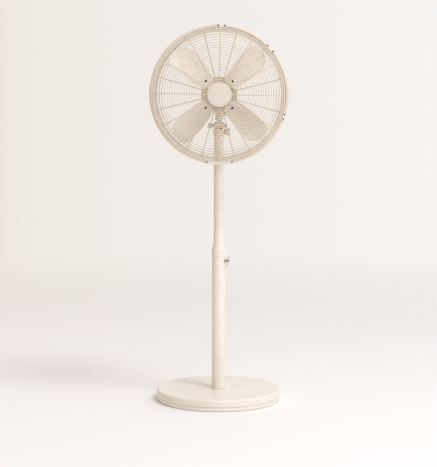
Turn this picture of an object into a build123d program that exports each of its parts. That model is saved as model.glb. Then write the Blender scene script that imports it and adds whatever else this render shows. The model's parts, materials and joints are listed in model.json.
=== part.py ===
from build123d import *
import math
import os

# Pedestal fan, millimetres, +Z up. The origin is on the floor under the middle of the round base.
# The fan blows towards -Y and +X is on its right as one faces it.

# ---- Driving dimensions -------------------------------------------------------------------------

BASE_R = 206.5            # round base
BASE_TOP = 38.0
COVER_BOTTOM = 14.5       # the painted cover ends here, the tray's lip shows below it
TRAY_BOTTOM = 1.6         # the rubber foot ring takes the last of the height
TRAY_GAP = 0.5            # the groove between the cover and the tray's lip
COVER_WALL = 1.5
TRAY_SHEET = 1.2
FOOT_OUTER_R = BASE_R - 14.0
FOOT_INNER_R = BASE_R - 26.0
WEIGHT_R = 145.0
WEIGHT_THICKNESS = 7.0
WEIGHT_SCREW_R = 133.0

LOWER_POLE_R = 22.3
UPPER_POLE_R = 16.8
POLE_WALL = 1.5
LOWER_POLE_TOP = 492.0
COLLAR_BOTTOM = 484.0
COLLAR_TOP = 527.0
UPPER_POLE_BOTTOM = 250.0

HEAD_Z = 1020.0           # height of the fan's axis
TILT_Z = HEAD_Z - 102.0   # height of the tilt hinge, on the pole's axis
HEAD_SCREW_Z = TILT_Z - 19.6
UPPER_POLE_TOP = TILT_Z - 16.0
SOCKET_BOTTOM = TILT_Z - 33.0

HEIGHT_SCREW_Z = 469.0
HEIGHT_SCREW_AZIMUTH = -20.0   # degrees from +X towards the front
HEIGHT_BAR_LEAN = 31.0         # how far the cross bar is turned from upright
HEIGHT_BAR_LENGTH = 38.0

MOTOR_R = 55.0
MOTOR_FRONT = 48.0        # distances along the fan's axis, forwards from the pole's axis
MOTOR_JOINT = 2.0
MOTOR_BACK = -44.0
MOTOR_WALL = 2.5
STATOR_MIDDLE = -1.0
STATOR_HALF = 12.0        # half the height of the stacked sheets
SHAFT_R = 5.0

CAGE_R = 218.7            # middle of the two rim tubes
RIM_TUBE_R = 6.0
RIM_SHEET = 1.0
REAR_RIM_F = 98.9
FRONT_RIM_F = 111.2
RING_WIRE_R = 1.1
SPOKE_WIRE_R = 1.5
RING_PITCH = 7.85
OUTER_RING_R = 197.5
RING_COUNT = 20
SIDE_RING_COUNT = 3       # the outermost of these, which lie on the rounded shoulder
REAR_RING_SCALE = 1.024   # the rear grille's rings are this much wider
FRONT_FLANK_RINGS = (207.6, 202.6)          # rings on the steep flank next to the rim
REAR_FLANK_RINGS = (207.4,)
SPOKE_COUNT = 12
SPOKE_TURN = -1.0         # the front spokes stand a degree off the vertical

BLADE_F = 104.0           # the plane that the blades turn in
BLADE_COUNT = 4
BLADE_TIP_R = 198.0
BLADE_ROOT_R = 48.0
BLADE_SHEET = 1.2
BLADE_CAMBER_R = 120.0
BLADE_PITCH_ROOT = 27.0
BLADE_PITCH_TIP = 17.0

GEARBOX_HALF_WIDTH = 34.0
GEARBOX_BACK = -100.0
GEARBOX_BOTTOM_Z = HEAD_Z - 44.0
GEARBOX_TOP_Z = HEAD_Z + 29.0
GEARBOX_WALL = 3.0
REAR_CAP_BACK = -128.0
CRANK_Y = 68.0            # the crank turns about this upright axis behind the pole
CRANK_THROW = 14.0
WORM_WHEEL_X = -17.6
WORM_WHEEL_Y = 62.0
LINK_PIN_X = 22.0         # the neck's pin that the link arm swings on
LINK_PIN_Y = 6.0
LINK_Z = HEAD_Z - 60.4
NECK_TOP = HEAD_Z - 61.5
NECK_EAR_TOP = HEAD_Z - 63.5
SWIVEL_BORE_BOTTOM = HEAD_Z - 81.0
LINK_SHEET = 3.0

BOTTOM = (Align.CENTER, Align.CENTER, Align.MIN)

# The head is drawn with the fan's axis as local Z, pointing forwards, and local Y upwards.
HEAD_PLANE = Plane(origin=(0, 0, HEAD_Z), x_dir=(1, 0, 0), z_dir=(0, -1, 0))

nodes = {}


# ---- Helpers ------------------------------------------------------------------------------------

def rod(radius, low, high):
    """A round bar along Z from low to high."""
    return Pos(0, 0, low) * Cylinder(radius, high - low, align=BOTTOM)


def tube(outer, inner, low, high):
    """A round tube along Z."""
    return rod(outer, low, high) - rod(inner, low - 1, high + 1)


def turned(points):
    """A solid of revolution about Z from (radius, height) points."""
    outline = Polyline(*[(radius, 0, height) for radius, height in points], close=True)
    return revolve(make_face(outline), Axis.Z)


def in_head(shape):
    """Moves a shape drawn about the fan's own axis to its place in the head."""
    return HEAD_PLANE.location * shape


def around(shape, count, first=0.0):
    """Copies of a shape, evenly spaced about Z."""
    return [Rot(0, 0, first + 360.0 / count * step) * shape for step in range(count)]


def keep(name, shape):
    """Stores a node: one solid, or a group of separate solids."""
    if isinstance(shape, list):
        solids = [solid for item in shape for solid in item.solids()]
        shape = Compound(solids)
    nodes[name] = shape


def pan_screw(head_r, head_height, shank_r, shank_length):
    """A pan-head screw: the head stands on Z = 0 and the shank goes down."""
    head = rod(head_r, 0, head_height)
    head = fillet(head.edges().group_by(Axis.Z)[-1], head_height * 0.6)
    slot = Pos(0, 0, head_height) * Box(head_r * 1.6, head_r * 0.28, head_height * 0.8)
    return head - slot + rod(shank_r, -shank_length, 0)


def gear(tip_r, teeth, low, high):
    """A spur gear about Z with straight-sided teeth."""
    tooth_height = 0.16 * tip_r
    body = rod(tip_r - tooth_height, low, high)
    width = math.pi * tip_r / teeth * 0.8
    tooth = Pos(tip_r - tooth_height, 0, (low + high) / 2)
    tooth = tooth * Box(tooth_height * 2, width, high - low)
    trimmed = [item & rod(tip_r, low, high) for item in around(tooth, teeth)]
    return body.fuse(*trimmed)


def fluted_knob(radius, length, flutes):
    """A round grip about Z, from Z = 0, with finger flutes and a softened end."""
    grip = rod(radius, 0, length)
    grip = fillet(grip.edges().group_by(Axis.Z)[-1], min(2.0, length * 0.2))
    groove = Pos(radius + radius * 0.12, 0, length * 0.25) * Cylinder(radius * 0.22, length, align=BOTTOM)
    for item in around(groove, flutes):
        grip = grip - item
    return grip


# ---- Base ---------------------------------------------------------------------------------------

def make_base():
    cover = turned([
        (LOWER_POLE_R + 0.2, BASE_TOP),
        (BASE_R, BASE_TOP),
        (BASE_R, COVER_BOTTOM),
        (BASE_R - COVER_WALL, COVER_BOTTOM),
        (BASE_R - COVER_WALL, BASE_TOP - COVER_WALL),
        (LOWER_POLE_R + 0.2, BASE_TOP - COVER_WALL),
    ])
    top_edge = cover.edges().group_by(Axis.Z)[-1].sort_by(SortBy.LENGTH)[-1]
    keep("base_cover", fillet(top_edge, COVER_WALL - 0.1))

    # The casting is a disc on six feet, which the tray's screws enter.
    plate_bottom = BASE_TOP - COVER_WALL - WEIGHT_THICKNESS - 0.2
    weight = rod(WEIGHT_R, plate_bottom, plate_bottom + WEIGHT_THICKNESS)
    foot = Pos(WEIGHT_SCREW_R, 0, 0) * rod(9, TRAY_BOTTOM + TRAY_SHEET + 0.05, plate_bottom + 1)
    screw_hole = Pos(WEIGHT_SCREW_R, 0, 0) * rod(2.45, 0, plate_bottom)
    for item in around(foot - screw_hole, 6):
        weight = weight + item
    keep("base_weight", weight - rod(7, 0, BASE_TOP))

    tray = turned([
        (60, TRAY_BOTTOM),
        (BASE_R - 1.2, TRAY_BOTTOM),
        (BASE_R - 1.2, COVER_BOTTOM - TRAY_GAP),
        (BASE_R - 1.2 - TRAY_SHEET, COVER_BOTTOM - TRAY_GAP),
        (BASE_R - 1.2 - TRAY_SHEET, TRAY_BOTTOM + TRAY_SHEET),
        (60, TRAY_BOTTOM + TRAY_SHEET),
    ])
    for spot in around(Pos(WEIGHT_SCREW_R, 0, 0) * rod(2.6, 0, COVER_BOTTOM), 6):
        tray = tray - spot
    keep("base_tray", tray)
    tray_screw = Rot(180, 0, 0) * pan_screw(5, 1.3, 2.4, 9.0)
    keep("tray_screws", around(Pos(WEIGHT_SCREW_R, 0, TRAY_BOTTOM - 0.02) * tray_screw, 6))

    keep("foot_ring", tube(FOOT_OUTER_R, FOOT_INNER_R, 0, TRAY_BOTTOM))


def make_pole_foot():
    keep("pole_flange", turned([
        (LOWER_POLE_R + 0.1, BASE_TOP),
        (LOWER_POLE_R + 2.8, BASE_TOP),
        (LOWER_POLE_R + 2.6, BASE_TOP + 3.6),
        (LOWER_POLE_R + 1.2, BASE_TOP + 4.8),
        (LOWER_POLE_R + 0.1, BASE_TOP + 4.8),
    ]))
    plug = rod(LOWER_POLE_R - POLE_WALL - 0.02, BASE_TOP - COVER_WALL, BASE_TOP + 30)
    keep("pole_plug", plug - rod(6.05, 0, BASE_TOP + 22))

    flange_top = BASE_TOP - COVER_WALL - WEIGHT_THICKNESS - 0.25
    head = Pos(0, 0, flange_top - 8) * extrude(RegularPolygon(9.5, 6), 6.1)
    bolt = head + rod(18, flange_top - 2, flange_top) + rod(6, flange_top - 2, BASE_TOP + 18)
    keep("base_bolt", bolt)


# ---- Pole ---------------------------------------------------------------------------------------

def screw_frame(radius):
    """Places a shape drawn along Z on the lower pole, pointing outwards at the height screw."""
    turn = Rot(0, 0, HEIGHT_SCREW_AZIMUTH)
    return Pos(0, 0, HEIGHT_SCREW_Z) * turn * Pos(radius, 0, 0) * Rot(0, 90, 0)


def make_lower_pole():
    pole = tube(LOWER_POLE_R, LOWER_POLE_R - POLE_WALL, BASE_TOP - COVER_WALL, LOWER_POLE_TOP)
    screw_hole = screw_frame(LOWER_POLE_R - 6) * rod(4.6, 0, 12)
    keep("lower_pole", pole - screw_hole)

    inner = UPPER_POLE_R + 0.25
    sleeve_r = LOWER_POLE_R - POLE_WALL - 0.05
    proud = LOWER_POLE_R + 0.5
    groove = LOWER_POLE_R - 0.4
    keep("height_collar", turned([
        (inner + 1.2, COLLAR_TOP - 4),
        (inner, COLLAR_TOP - 4),
        (inner, COLLAR_TOP),
        (UPPER_POLE_R + 1.0, COLLAR_TOP),
        (UPPER_POLE_R + 1.7, COLLAR_TOP - 3),
        (UPPER_POLE_R + 2.2, COLLAR_TOP - 8),
        (UPPER_POLE_R + 3.6, COLLAR_TOP - 14),
        (proud - 0.5, COLLAR_TOP - 18),
        (proud, COLLAR_TOP - 20),
        (proud, COLLAR_TOP - 22),
        (groove, COLLAR_TOP - 23.5),
        (proud, COLLAR_TOP - 25),
        (proud, COLLAR_TOP - 33),
        (groove, COLLAR_TOP - 34.5),
        (proud, COLLAR_TOP - 36),
        (proud + 0.3, COLLAR_TOP - 37),
        (proud + 0.3, COLLAR_TOP - 42),
        (LOWER_POLE_R + 0.04, COLLAR_TOP - 43),
        (LOWER_POLE_R + 0.04, LOWER_POLE_TOP + 0.02),
        (sleeve_r, LOWER_POLE_TOP + 0.02),
        (sleeve_r, COLLAR_BOTTOM - 2),
        (inner + 1.2, COLLAR_BOTTOM - 2),
    ]))
    keep("collar_bush", tube(inner + 1.15, inner - 0.2, COLLAR_BOTTOM - 2, COLLAR_TOP - 4.05))

    # The threaded insert is as deep as the gap between the two tubes and a little proud outside.
    insert = tube(4.5, 3.05, 0, 7.4)
    flange = tube(6.5, 3.05, 5.6, 7.4)
    keep("screw_insert", screw_frame(UPPER_POLE_R + 0.6) * (insert + flange))


def make_height_screw():
    shank = rod(3.0, 0, 17.5) + rod(4.6, 12.5, 19.0)
    bar = Rot(0, 90, 0) * Cylinder(2.0, HEIGHT_BAR_LENGTH)
    bar = fillet(bar.edges(), 0.9)
    # Local X of the screw frame points down, so a bar along it stands upright before it is turned.
    lean = Rot(0, 0, -HEIGHT_BAR_LEAN)
    handle = shank + Pos(0, 0, 16.0) * bar
    keep("height_screw", screw_frame(UPPER_POLE_R + 0.2) * lean * handle)


def make_upper_pole():
    keep("upper_pole", tube(UPPER_POLE_R, UPPER_POLE_R - POLE_WALL, UPPER_POLE_BOTTOM, UPPER_POLE_TOP))
    bush_r = LOWER_POLE_R - POLE_WALL - 0.1
    bush = turned([
        (UPPER_POLE_R - POLE_WALL - 0.05, UPPER_POLE_BOTTOM + 14),
        (UPPER_POLE_R - POLE_WALL - 0.05, UPPER_POLE_BOTTOM),
        (bush_r, UPPER_POLE_BOTTOM),
        (bush_r, UPPER_POLE_BOTTOM - 16),
        (10, UPPER_POLE_BOTTOM - 16),
        (10, UPPER_POLE_BOTTOM + 14),
    ])
    keep("guide_bush", bush)


# ---- Head socket and tilt hinge -----------------------------------------------------------------

def along_x(shape, z):
    """Turns a shape drawn along Z so that it points to +X, at height z on the pole's axis."""
    return Pos(0, 0, z) * Rot(0, 90, 0) * shape


def make_socket():
    socket_r = UPPER_POLE_R + 2.6
    slot_floor = TILT_Z - 14.0
    ear_r = 13.5
    body = rod(socket_r, SOCKET_BOTTOM, slot_floor)
    body = fillet(body.edges().group_by(Axis.Z)[0], 1.2)
    ears = along_x(rod(ear_r, -18, 18), TILT_Z)
    ears = ears + Pos(0, 0, slot_floor - 1) * Box(36, 2 * ear_r, TILT_Z - slot_floor + 1, align=BOTTOM)
    ears = ears & (rod(socket_r, slot_floor - 1, TILT_Z + 20))
    socket = body + ears
    socket = socket - Pos(0, 0, slot_floor) * Box(18, 60, 60, align=BOTTOM)
    socket = socket - rod(UPPER_POLE_R + 0.03, SOCKET_BOTTOM - 1, UPPER_POLE_TOP + 0.05)
    socket = socket - along_x(rod(4.1, -30, 30), TILT_Z)
    socket = socket - along_x(rod(3.05, 10, 30), HEAD_SCREW_Z)
    keep("head_socket", socket)

    screw_tip = UPPER_POLE_R + 0.06
    grip = Pos(0, 0, 21.5) * fluted_knob(12.5, 15.5, 8) + rod(6, 19.6, 23)
    keep("head_screw", along_x(grip + rod(3.0, screw_tip, 24), HEAD_SCREW_Z))


def make_tilt_joint():
    half = 8.6
    tongue = along_x(rod(12.0, -half, half), TILT_Z)
    web = Pos(0, 0, TILT_Z) * Box(2 * half, 20, 24, align=BOTTOM)
    pivot_tower = rod(13.0, TILT_Z + 18, NECK_TOP)
    ear = Pos(LINK_PIN_X, LINK_PIN_Y, 0) * rod(6.5, NECK_EAR_TOP - 7.5, NECK_EAR_TOP)
    reach = math.hypot(LINK_PIN_X, LINK_PIN_Y)
    ear_arm = Pos(0, 0, NECK_EAR_TOP - 7.5) * Rot(0, 0, math.degrees(math.atan2(LINK_PIN_Y, LINK_PIN_X)))
    ear_arm = ear_arm * Box(reach, 11, 7.5, align=(Align.MIN, Align.CENTER, Align.MIN))
    neck = tongue + web + pivot_tower + ear + ear_arm
    neck = neck - rod(6.05, SWIVEL_BORE_BOTTOM, NECK_TOP + 5)
    neck = neck - along_x(rod(4.06, -30, 30), TILT_Z)
    neck = neck + Pos(LINK_PIN_X, LINK_PIN_Y, 0) * rod(3.0, NECK_EAR_TOP - 6, LINK_Z + LINK_SHEET + 1.2)
    keep("tilt_neck", neck)

    washer = tube(11.0, 4.2, half + 0.03, 9.0 - 0.03)
    keep("tilt_washers", [along_x(washer, TILT_Z), along_x(Rot(180, 0, 0) * washer, TILT_Z)])

    keep("tilt_bolt", along_x(rod(4.0, -33, 25.5), TILT_Z))
    grip = Rot(180, 0, 0) * (Pos(0, 0, 20.6) * fluted_knob(8.0, 16.0, 6))
    keep("tilt_knob", along_x(grip - rod(4.02, -33.02, 0), TILT_Z))
    # A flat of the nut faces down, clear of the grip of the head screw below it.
    nut = Pos(0, 0, 19.0) * Rot(0, 0, 30) * extrude(RegularPolygon(7.5, 6), 5.5) - rod(4.05, 0, 40)
    keep("tilt_nut", along_x(nut, TILT_Z))


# ---- Motor --------------------------------------------------------------------------------------

def vent_slots(radius, low, high, count, width):
    """Upright slots through a round wall, as cutters."""
    slot = Pos(radius, 0, (low + high) / 2) * Box(14, width, high - low)
    slot = fillet(slot.edges().filter_by(Axis.X), width * 0.45)
    return around(slot, count, 180.0 / count)


def make_motor():
    inner = MOTOR_R - MOTOR_WALL
    shell = rod(MOTOR_R, MOTOR_JOINT, MOTOR_FRONT)
    shell = fillet(shell.edges().group_by(Axis.Z)[-1], 7)
    shell = shell - rod(inner, MOTOR_JOINT - 1, MOTOR_FRONT - MOTOR_WALL)
    shell = shell + rod(20, MOTOR_FRONT - MOTOR_WALL, MOTOR_FRONT + 13)
    shell = shell + rod(16, MOTOR_FRONT - 14, MOTOR_FRONT)
    shell = shell - rod(9.02, MOTOR_FRONT - 20, MOTOR_FRONT + 8)
    shell = shell - rod(SHAFT_R + 0.6, 0, MOTOR_FRONT + 20)
    for hole in around(Pos(47, 0, 0) * rod(2.1, MOTOR_JOINT - 1, MOTOR_FRONT + 1), 4, 45):
        shell = shell - hole
    for hole in around(Pos(33, 0, 0) * rod(2.0, MOTOR_FRONT - 4, MOTOR_FRONT + 1), 4):
        shell = shell - hole

    back = rod(MOTOR_R, MOTOR_BACK, MOTOR_JOINT - 0.02)
    back = fillet(back.edges().group_by(Axis.Z)[0], 13)
    back = back - rod(inner, MOTOR_BACK + MOTOR_WALL + 8, MOTOR_JOINT + 1)
    back = back - rod(38, MOTOR_BACK + MOTOR_WALL, MOTOR_BACK + MOTOR_WALL + 9)
    back = back + rod(14, MOTOR_BACK + 1, MOTOR_BACK + 16)
    back = back - rod(9.02, MOTOR_BACK + 3, MOTOR_BACK + 20)
    back = back - rod(SHAFT_R + 0.6, MOTOR_BACK - 5, 0)
    for slot in vent_slots(MOTOR_R, MOTOR_BACK + 16, MOTOR_JOINT - 8, 20, 5):
        back = back - slot
    for hole in around(Pos(47, 0, 0) * rod(2.1, MOTOR_BACK - 1, MOTOR_JOINT + 1), 4, 45):
        back = back - hole
    # The swivel pin and its saddle are under the motor, on the pole's axis.
    pin_bore = Rot(90, 0, 0) * rod(6.02, 40, MOTOR_R + 10)
    saddle = Rot(90, 0, 0) * rod(13, 45, MOTOR_R + 5.4)
    saddle = saddle - rod(inner, MOTOR_BACK, MOTOR_FRONT)
    saddle = saddle & Box(60, 200, 29)
    saddle_rear = saddle & Pos(0, 0, MOTOR_JOINT - 30.02) * Box(60, 200, 30, align=BOTTOM)
    back = back + saddle_rear - pin_bore
    keep("motor_rear_housing", in_head(back))
    saddle_front = saddle & Pos(0, 0, MOTOR_JOINT) * Box(60, 200, 30, align=BOTTOM)
    shell = shell + saddle_front - pin_bore
    keep("motor_front_housing", in_head(shell))

    core = tube(inner - 0.15, 27, STATOR_MIDDLE - STATOR_HALF, STATOR_MIDDLE + STATOR_HALF)
    for hole in around(Pos(47, 0, 0) * rod(3.4, -30, 30), 4, 45):
        core = core - hole
    keep("stator_core", in_head(core))
    coil = fillet(tube(43, 29, STATOR_HALF + 0.1, STATOR_HALF + 12).edges(), 2.5)
    coils = [Pos(0, 0, STATOR_MIDDLE) * coil, Pos(0, 0, STATOR_MIDDLE) * Rot(180, 0, 0) * coil]
    keep("windings", in_head(Compound([item.solid() for item in coils])))
    bearing = tube(9.0, SHAFT_R + 0.05, 0, 12.9)
    bearings = [Pos(0, 0, MOTOR_FRONT - 5) * bearing, Pos(0, 0, MOTOR_BACK + 3.1) * bearing]
    keep("shaft_bearings", in_head(Compound(bearings)))

    swivel = rod(6.0, SWIVEL_BORE_BOTTOM + 2, HEAD_Z - inner - 0.1)
    keep("swivel_pin", swivel)

    bolt = pan_screw(3.6, 2.4, 2.0, MOTOR_FRONT - MOTOR_BACK - 16)
    return around(Pos(47, 0, MOTOR_FRONT) * bolt, 4, 45)


def make_gearbox():
    depth = MOTOR_BACK - GEARBOX_BACK
    middle = (MOTOR_BACK + GEARBOX_BACK) / 2
    low = GEARBOX_BOTTOM_Z - HEAD_Z
    high = GEARBOX_TOP_Z - HEAD_Z
    width = 2 * GEARBOX_HALF_WIDTH
    block = Pos(0, (low + high) / 2, middle) * Box(width, high - low, depth)
    corners = block.edges().filter_by(Axis.Z)
    block = fillet(corners, 11)
    room = Pos(0, (low + high) / 2 - GEARBOX_WALL, middle)
    room = room * Box(width - 2 * GEARBOX_WALL, high - low, depth - 2 * GEARBOX_WALL)
    block = block - room
    block = block - rod(SHAFT_R + 0.6, GEARBOX_BACK + 10, MOTOR_BACK + 5)
    shaft_hole = Pos(WORM_WHEEL_X, 0, -WORM_WHEEL_Y) * Rot(-90, 0, 0) * rod(3.2, 10, 60)
    block = block - shaft_hole
    wire_hole = Pos(12, 14, 0) * rod(4, GEARBOX_BACK - 5, GEARBOX_BACK + 10)
    block = block - wire_hole
    keep("gearbox_housing", in_head(block))

    plate = Pos(0, low - GEARBOX_WALL / 2 - 0.02, middle)
    plate = plate * Box(width - 12, GEARBOX_WALL, depth - 1)
    plate = plate - Pos(0, 0, -CRANK_Y) * Rot(90, 0, 0) * rod(4.06, 20, 60)
    spots = [(x, z) for x in (-23, 23) for z in (MOTOR_BACK - 5, GEARBOX_BACK + 5)]
    for x, z in spots:
        plate = plate - Pos(x, 0, z) * Rot(90, 0, 0) * rod(2.0, 20, 60)
    keep("gearbox_plate", in_head(plate))
    screw = Rot(90, 0, 0) * pan_screw(4.2, 2.6, 1.9, 2.6)
    return [Pos(x, low - GEARBOX_WALL - 0.05, z) * screw for x, z in spots]


def make_rear_cap():
    low = GEARBOX_BOTTOM_Z - HEAD_Z + 4
    high = GEARBOX_TOP_Z - HEAD_Z - 4
    width = 2 * GEARBOX_HALF_WIDTH - 8
    depth = GEARBOX_BACK - REAR_CAP_BACK
    cap = Pos(0, (low + high) / 2, GEARBOX_BACK - depth / 2 - 0.02) * Box(width, high - low, depth)
    cap = fillet(cap.edges().filter_by(Axis.Z), 10)
    cap = fillet(cap.faces().sort_by(Axis.Z)[0].edges(), 5)
    room = Pos(0, (low + high) / 2, GEARBOX_BACK - depth / 2 + 3)
    room = room * Box(width - 6, high - low - 6, depth)
    room = fillet(room.edges().filter_by(Axis.Z), 7)
    cap = cap - room
    cap = cap - Pos(0, 4, 0) * rod(4.5, REAR_CAP_BACK - 5, REAR_CAP_BACK + 10)
    gland_hole = Pos(0, low, GEARBOX_BACK - depth / 2) * Rot(90, 0, 0) * Cylinder(6.05, 20)
    cap = cap - gland_hole
    keep("rear_cap", in_head(cap))
    gland = tube(6.0, 4.0, -6, 5) + tube(8.5, 4.0, 0.05, 3.5)
    gland = Pos(0, low, GEARBOX_BACK - depth / 2) * Rot(90, 0, 0) * gland
    keep("cord_gland", in_head(gland))

    switch = Pos(0, 4, GEARBOX_BACK - 13) * Box(26, 26, 16)
    keep("speed_switch", in_head(switch - Pos(0, 4, 0) * rod(3.05, REAR_CAP_BACK, GEARBOX_BACK - 8)))
    capacitor = fillet(Box(16, 22, 16).edges(), 1.5)
    keep("capacitor", in_head(Pos(16, -25, GEARBOX_BACK - 13) * capacitor))

    stem = Pos(0, 4, 0) * rod(3.0, REAR_CAP_BACK - 15, GEARBOX_BACK - 9)
    knob = fluted_knob(14, 13, 12)
    pointer = Pos(8, 0, 13) * Box(9, 2, 1.6)
    knob = Pos(0, 4, REAR_CAP_BACK - 1.0) * Rot(0, 180, 0) * (knob + pointer)
    keep("speed_knob", in_head(knob + stem))


# ---- Gear train of the swing --------------------------------------------------------------------

def make_gear_train():
    wheel_r = -WORM_WHEEL_X - 5.5
    wheel = gear(wheel_r, 40, HEAD_Z - 3, HEAD_Z + 3)
    pinion = gear(4.0, 8, HEAD_Z - 35, HEAD_Z - 27)
    place = Pos(WORM_WHEEL_X, WORM_WHEEL_Y, 0)
    keep("worm_wheel", place * (wheel + pinion + rod(2.6, HEAD_Z - 40, HEAD_Z + 18)))

    distance = math.hypot(WORM_WHEEL_X, CRANK_Y - WORM_WHEEL_Y)
    crank_gear = gear(distance - 4.0 - 0.3, 44, HEAD_Z - 34, HEAD_Z - 28)
    place = Pos(0, CRANK_Y, 0)
    keep("crank_gear", place * (crank_gear + rod(4.0, HEAD_Z - 51, HEAD_Z - 34)))
    disc_bottom = HEAD_Z - 54
    disc = tube(19.0, 4.02, disc_bottom, disc_bottom + 3.8)
    span = math.hypot(LINK_PIN_X, CRANK_Y - LINK_PIN_Y)
    along = ((0 - LINK_PIN_X) / span, (CRANK_Y - LINK_PIN_Y) / span)
    pin_x = along[1] * CRANK_THROW
    pin_y = -along[0] * CRANK_THROW
    pin = Pos(pin_x, pin_y, 0) * rod(3.0, LINK_Z + LINK_SHEET + 0.7, disc_bottom + 1)
    keep("crank_disc", place * (disc + pin))
    return pin_x, CRANK_Y + pin_y


def make_link(crank_pin_x, crank_pin_y):
    length = math.hypot(crank_pin_x - LINK_PIN_X, crank_pin_y - LINK_PIN_Y)
    turn = math.degrees(math.atan2(crank_pin_y - LINK_PIN_Y, crank_pin_x - LINK_PIN_X))
    bar = Pos(length / 2, 0, 0) * Box(length, 8, LINK_SHEET, align=BOTTOM)
    eyes = rod(6, 0, LINK_SHEET) + Pos(length, 0, 0) * rod(6, 0, LINK_SHEET)
    link = bar + eyes - rod(3.06, -1, LINK_SHEET + 1)
    link = link - Pos(length, 0, 0) * rod(3.1, -1, LINK_SHEET + 1)
    keep("link_arm", Pos(LINK_PIN_X, LINK_PIN_Y, LINK_Z) * Rot(0, 0, turn) * link)


def make_swing_knob():
    place = Pos(WORM_WHEEL_X, WORM_WHEEL_Y, 0)
    stem = rod(3.0, HEAD_Z + 18.5, GEARBOX_TOP_Z + 12)
    grip = rod(4.5, GEARBOX_TOP_Z + 0.3, GEARBOX_TOP_Z + 6)
    grip = grip + rod(8.5, GEARBOX_TOP_Z + 5, GEARBOX_TOP_Z + 19)
    grip = fillet(grip.edges().group_by(Axis.Z)[-1], 3)
    keep("swing_knob", place * (grip + stem))


# ---- Fan: rotor, shaft and blades ---------------------------------------------------------------

def blade_section(radius, pitch):
    """A thin curved strip across the blade, at this distance from the axis."""
    half_angle = 27.0
    inner_r = BLADE_CAMBER_R - BLADE_SHEET / 2
    outer_r = BLADE_CAMBER_R + BLADE_SHEET / 2
    ends = []
    for r in (inner_r, outer_r):
        ends.append([(r * math.sin(math.radians(a)), BLADE_CAMBER_R - r * math.cos(math.radians(a)))
                     for a in (-half_angle, 0, half_angle)])
    outline = ThreePointArc(*ends[0])
    outline = outline + Line(ends[0][2], ends[1][2])
    outline = outline + ThreePointArc(ends[1][2], ends[1][1], ends[1][0])
    outline = outline + Line(ends[1][0], ends[0][0])
    plane = Plane(origin=(radius, 0, 0), x_dir=(0, 1, 0), z_dir=(1, 0, 0))
    return Rot(pitch, 0, 0) * (plane.location * make_face(outline))


def blade_outline():
    """The blade as it shows from the front, along +X from the fan's axis; it leads with its -Y edge."""
    tip = BLADE_TIP_R
    leading = [(BLADE_ROOT_R, -24.0), (85.0, -33.0), (130.0, -39.5), (tip - 40, -40.5)]
    end = [leading[-1], (tip - 18, -31.0), (tip - 5, -12.0), (tip - 0.5, 6.0),
           (tip - 2.0, 21.0), (tip - 9.0, 32.5), (tip - 24, 38.5)]
    trailing = [end[-1], (130.0, 38.5), (85.0, 33.0), (BLADE_ROOT_R, 24.0)]
    root = Line(trailing[-1], leading[0])
    return make_face(Spline(*leading) + Spline(*end) + Spline(*trailing) + root)


def make_blades():
    radii = (BLADE_ROOT_R - 4, (BLADE_ROOT_R + BLADE_TIP_R) / 2, BLADE_TIP_R + 4)
    pitches = (BLADE_PITCH_ROOT, (BLADE_PITCH_ROOT + BLADE_PITCH_TIP) / 2, BLADE_PITCH_TIP)
    sheet = loft([blade_section(r, p) for r, p in zip(radii, pitches)])
    prism = Pos(0, 0, -60) * extrude(blade_outline(), 120)
    blade = sheet & prism
    hole = Pos(61, 0, 0) * Rot(BLADE_PITCH_ROOT - 1, 0, 0) * rod(2.6, -10, 10)
    blade = blade - hole
    for number, item in enumerate(around(blade, BLADE_COUNT, 45)):
        keep(f"blade_{number + 1}", in_head(Pos(0, 0, BLADE_F) * item))

    # The spider's arms lie against the back of the blades, at the same pitch.
    arm = Pos(30, 0, -1.7 - BLADE_SHEET) * Box(44, 26, 2.2, align=(Align.MIN, Align.CENTER, Align.CENTER))
    arm = fillet(arm.edges().filter_by(Axis.Z).sort_by(Axis.X)[-2:], 9)
    arm = Rot(BLADE_PITCH_ROOT - 1, 0, 0) * arm
    arm = arm - Pos(61, 0, 0) * Rot(BLADE_PITCH_ROOT - 1, 0, 0) * rod(2.6, -10, 10)
    barrel = rod(13, -9, 8)
    disc = rod(34, -5.4, -1.6)
    spider = barrel + disc
    for item in around(arm, BLADE_COUNT, 45):
        spider = spider + item
    spider = spider - rod(SHAFT_R + 0.01, -30, 30)
    keep("blade_spider", in_head(Pos(0, 0, BLADE_F) * spider))

    screw = Pos(0, 0, BLADE_SHEET / 2 + 0.05) * pan_screw(4.2, 2.6, 2.4, 6.5)
    screw = Pos(61, 0, 0) * Rot(BLADE_PITCH_ROOT - 1, 0, 0) * screw
    screws = [Pos(0, 0, BLADE_F) * item for item in around(screw, BLADE_COUNT, 45)]
    keep("blade_screws", in_head(Compound(screws)))


def make_rotor():
    shaft = rod(SHAFT_R, -50, BLADE_F + 18) + rod(4.2, -76, -50)
    # The worm is cut as a row of rings, whose tips run just clear of the worm wheel's teeth.
    for step in range(8):
        shaft = shaft + rod(5.2, -71.5 + 2.4 * step, -70.3 + 2.4 * step)
    keep("motor_shaft", in_head(shaft))
    core = tube(26.5, SHAFT_R + 0.02, STATOR_MIDDLE - STATOR_HALF, STATOR_MIDDLE + STATOR_HALF)
    keep("rotor_core", in_head(core))
    nut = rod(11, BLADE_F + 8.1, BLADE_F + 22)
    nut = fillet(nut.edges().group_by(Axis.Z)[-1], 5)
    keep("hub_nut", in_head(nut - rod(SHAFT_R + 0.02, 0, BLADE_F + 18.1)))


# ---- Cage: two wire grilles, their rims, clips and hub cap --------------------------------------

def spoke_path(points, bend):
    """The centre line of a radial wire, from (radius, height) points."""
    return FilletPolyline(*[(radius, 0, height) for radius, height in points], radius=bend)


def height_on(path, radius):
    """The height of the path where it is this far from the axis, found by halving."""
    low = 0.0
    high = 1.0
    for _ in range(40):
        middle = (low + high) / 2
        if (path @ middle).X < radius:
            low = middle
        else:
            high = middle
    return (path @ low).Z


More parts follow.
